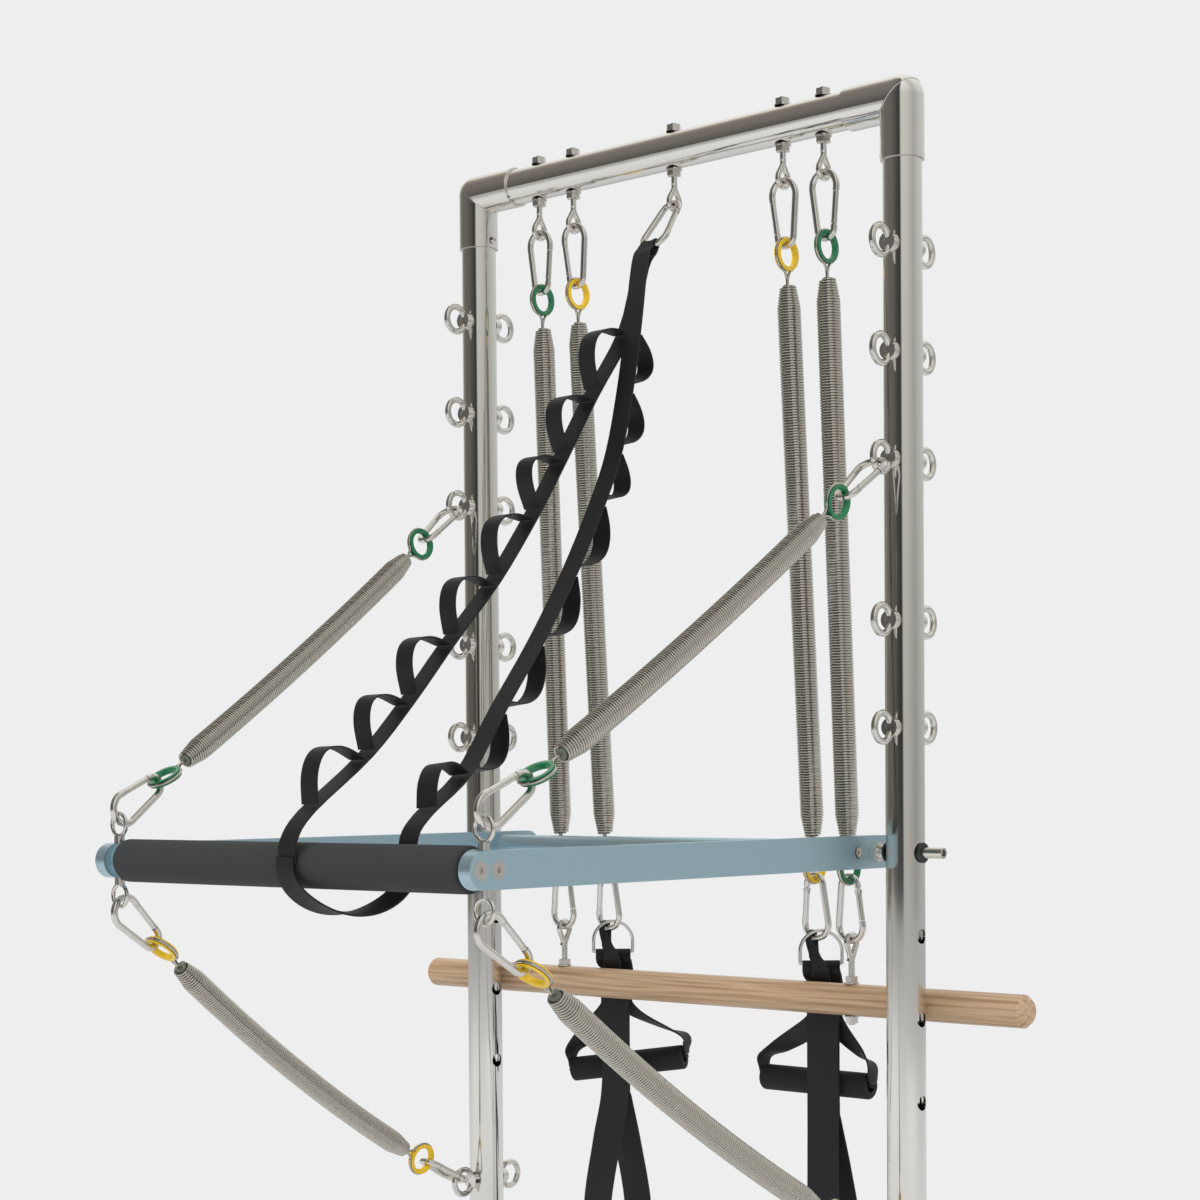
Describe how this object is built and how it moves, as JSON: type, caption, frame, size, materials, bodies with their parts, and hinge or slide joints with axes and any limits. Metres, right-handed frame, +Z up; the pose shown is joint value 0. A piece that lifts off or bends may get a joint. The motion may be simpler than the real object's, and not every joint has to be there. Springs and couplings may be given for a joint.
{
  "type": "pilates tower unit",
  "caption": "Free-standing end frame of a pilates tower with a sprung push-through bar, a wooden roll bar, strap handles and a safety strap.",
  "frame": {"origin": "midway between the centres of the two posts' lower ends", "axes": "+X along the crossbar, -Y towards the push-through bar's front tube, +Z up the posts"},
  "size_m": [0.896, 0.7675, 1.4422],
  "materials": {
    "stainless": "polished stainless steel",
    "spring_steel": "bright drawn wire",
    "anodised": "satin pale blue anodised",
    "foam": "closed-cell foam, matt",
    "green": "moulded",
    "yellow": "moulded",
    "webbing": "woven webbing",
    "timber": "clear satin varnish",
    "black_plastic": "moulded"
  },
  "bodies": {
    "frame": {"left_post": "stainless", "right_post": "stainless", "crossbar": "stainless", "left_elbow": "stainless", "right_elbow": "stainless", "elbow_screws": "stainless", "left_eye_nuts": "stainless", "right_eye_nuts": "stainless", "eye_nut_studs": "stainless", "crossbar_eyes": "stainless", "crossbar_nuts": "stainless", "crossbar_washers": "stainless", "pivot_bushes": "black_plastic", "post_hooks": "stainless", "green_post_thimbles": "green", "yellow_post_thimbles": "yellow", "safety_hook": "stainless", "safety_strap": "webbing"},
    "push_bar": {"left_arm": "anodised", "right_arm": "anodised", "front_tube": "anodised", "foam_sleeve": "foam", "rear_tube": "anodised", "arm_screws": "stainless", "arm_eyes": "stainless", "pivot_pins": "stainless", "pivot_nuts": "stainless", "bar_hooks": "stainless", "green_bar_thimbles": "green", "yellow_bar_thimbles": "yellow", "upper_springs": "spring_steel", "lower_springs": "spring_steel"},
    "hanging": {"top_hooks": "stainless", "green_top_thimbles": "green", "yellow_top_thimbles": "yellow", "roll_springs": "spring_steel", "left_spring": "spring_steel", "right_spring": "spring_steel"},
    "roll_bar": {"dowel": "timber", "dowel_eyes": "stainless", "dowel_nuts": "stainless", "low_hooks": "stainless", "low_thimbles": "green"},
    "left_handle": {"left_thimble": "yellow", "left_hook": "stainless", "left_d_ring": "stainless", "left_strap": "webbing", "left_grip": "foam", "left_loop": "webbing"},
    "right_handle": {"right_thimble": "yellow", "right_hook": "stainless", "right_d_ring": "stainless", "right_strap": "webbing", "right_grip": "foam", "right_loop": "webbing"},
    "safety_gate_body": {"safety_gate": "stainless"},
    "left_low_gate_body": {"left_low_gate": "stainless"},
    "right_low_gate_body": {"right_low_gate": "stainless"},
    "left_gate_body": {"left_gate": "stainless"},
    "right_gate_body": {"right_gate": "stainless"}
  },
  "joints": [
    {"name": "push_bar_hinge", "type": "hinge", "parent": "frame", "child": "push_bar", "pos_m": [0, 0, 0.6], "axis": [-1, 0, 0], "range_deg": [-8, 60], "stiffness_Nm_per_rad": 60, "springref_deg": 11.98, "deforming": ["upper_springs", "lower_springs", "safety_strap"]},
    {"name": "hanging_swing", "type": "hinge", "parent": "frame", "child": "hanging", "pos_m": [0, 0, 1.3515], "axis": [1, 0, 0], "range_deg": [0, 35]},
    {"name": "roll_bar_slide", "type": "slide", "parent": "hanging", "child": "roll_bar", "axis": [0, 0, -1], "range_m": [0, 0.2], "stiffness_N_per_m": 250, "springref_m": -0.1, "deforming": ["roll_springs"]},
    {"name": "left_handle_pull", "type": "slide", "parent": "hanging", "child": "left_handle", "axis": [0, 0.5299, -0.848], "range_m": [0, 0.3], "stiffness_N_per_m": 120, "springref_m": -0.1, "deforming": ["left_spring"]},
    {"name": "right_handle_pull", "type": "slide", "parent": "hanging", "child": "right_handle", "axis": [0, 0.5299, -0.848], "range_m": [0, 0.3], "stiffness_N_per_m": 120, "springref_m": -0.1, "deforming": ["right_spring"]},
    {"name": "safety_gate_hinge", "type": "hinge", "parent": "frame", "child": "safety_gate_body", "pos_m": [0.01218, -0.01177, 1.3366], "axis": [0, 0.7848, -0.6198], "range_deg": [0, 24], "stiffness_Nm_per_rad": 0.08, "springref_deg": -28.65},
    {"name": "left_low_gate_hinge", "type": "hinge", "parent": "roll_bar", "child": "left_low_gate_body", "pos_m": [-0.20594, 0.03704, 0.55366], "axis": [0, 0.9989, 0.0464], "range_deg": [0, 24], "stiffness_Nm_per_rad": 0.08, "springref_deg": -28.65},
    {"name": "right_low_gate_hinge", "type": "hinge", "parent": "roll_bar", "child": "right_low_gate_body", "pos_m": [0.22953, 0.03704, 0.55377], "axis": [0, 0.9989, 0.0464], "range_deg": [0, 24], "stiffness_Nm_per_rad": 0.08, "springref_deg": -28.65},
    {"name": "left_gate_hinge", "type": "hinge", "parent": "left_handle", "child": "left_gate_body", "pos_m": [-0.1698, 0.05331, 0.5535], "axis": [0, -0.9978, -0.0667], "range_deg": [0, 24], "stiffness_Nm_per_rad": 0.08, "springref_deg": -28.65},
    {"name": "right_gate_hinge", "type": "hinge", "parent": "right_handle", "child": "right_gate_body", "pos_m": [0.1462, 0.05331, 0.5535], "axis": [0, -0.9978, -0.0667], "range_deg": [0, 24], "stiffness_Nm_per_rad": 0.08, "springref_deg": -28.65}
  ]
}
